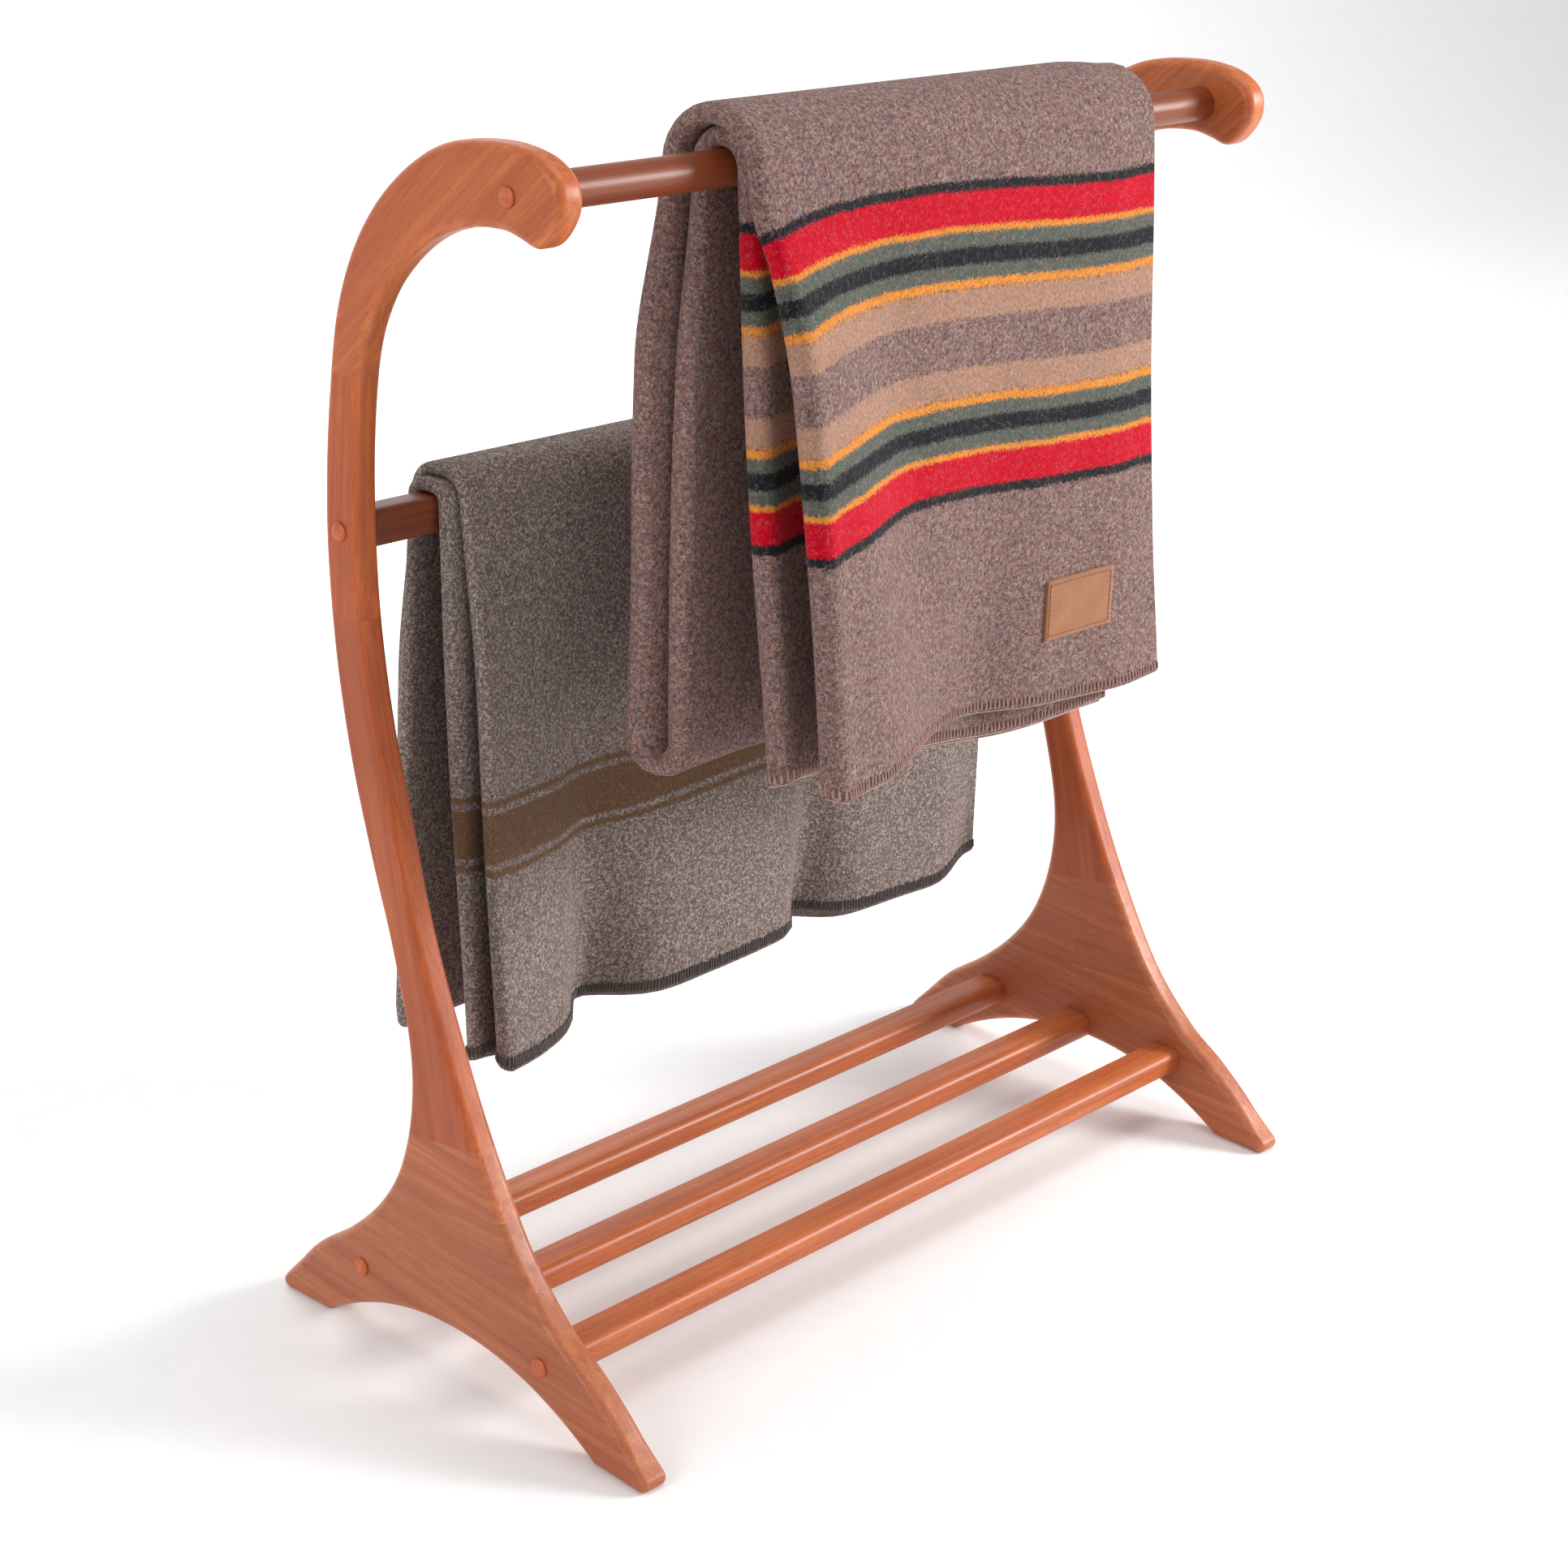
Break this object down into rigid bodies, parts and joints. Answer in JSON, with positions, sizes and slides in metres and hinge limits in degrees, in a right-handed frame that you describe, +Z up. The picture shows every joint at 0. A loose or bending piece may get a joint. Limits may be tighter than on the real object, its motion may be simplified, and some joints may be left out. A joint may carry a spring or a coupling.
{
  "type": "blanket rack with folded blankets",
  "caption": "Free-standing varnished wooden rack with swan-neck side frames, a round top rail, a middle rail and shelf rails, holding two folded wool blankets.",
  "frame": {"origin": "on the floor, at the middle of the rack's footprint", "axes": "+X along the rails to the right as seen from the front, +Y to the back, +Z up; the hooks' noses point to -Y"},
  "size_m": [0.761, 0.394, 0.9166],
  "materials": {
    "varnished_wood": "satin varnish",
    "beech_dowel": "bare",
    "zinc_steel": "zinc plated",
    "brown_wool": "heathered woven wool",
    "grey_wool": "heathered woven wool",
    "suede_leather": "suede, blank"
  },
  "bodies": {
    "rack": {"left_hook": "varnished_wood", "left_upper_post": "varnished_wood", "left_lower_post": "varnished_wood", "left_base_top": "varnished_wood", "left_base_middle_front": "varnished_wood", "left_base_middle_rear": "varnished_wood", "left_base_lower": "varnished_wood", "left_front_foot": "varnished_wood", "left_rear_foot": "varnished_wood", "right_hook": "varnished_wood", "right_upper_post": "varnished_wood", "right_lower_post": "varnished_wood", "right_base_top": "varnished_wood", "right_base_middle_front": "varnished_wood", "right_base_middle_rear": "varnished_wood", "right_base_lower": "varnished_wood", "right_front_foot": "varnished_wood", "right_rear_foot": "varnished_wood", "top_rail": "varnished_wood", "middle_rail": "varnished_wood", "rear_shelf_rail": "varnished_wood", "centre_shelf_rail": "varnished_wood", "front_shelf_rail": "varnished_wood", "left_hook_plug": "varnished_wood", "left_middle_plug": "varnished_wood", "left_rear_plug": "varnished_wood", "left_front_plug": "varnished_wood", "right_hook_plug": "varnished_wood", "right_middle_plug": "varnished_wood", "right_rear_plug": "varnished_wood", "right_front_plug": "varnished_wood", "left_rail_screws": "zinc_steel", "right_rail_screws": "zinc_steel", "left_rail_dowels": "beech_dowel", "right_rail_dowels": "beech_dowel", "left_joint_dowels": "beech_dowel", "right_joint_dowels": "beech_dowel"},
    "top_blanket_body": {"top_blanket": "brown_wool", "leather_label": "suede_leather"},
    "lower_blanket_body": {"lower_blanket": "grey_wool"}
  },
  "joints": [
    {"name": "top_blanket_slide", "type": "slide", "parent": "rack", "child": "top_blanket_body", "axis": [1, 0, 0], "range_m": [-0.15, 0.06]},
    {"name": "lower_blanket_slide", "type": "slide", "parent": "rack", "child": "lower_blanket_body", "axis": [1, 0, 0], "range_m": [-0.05, 0.06]}
  ]
}
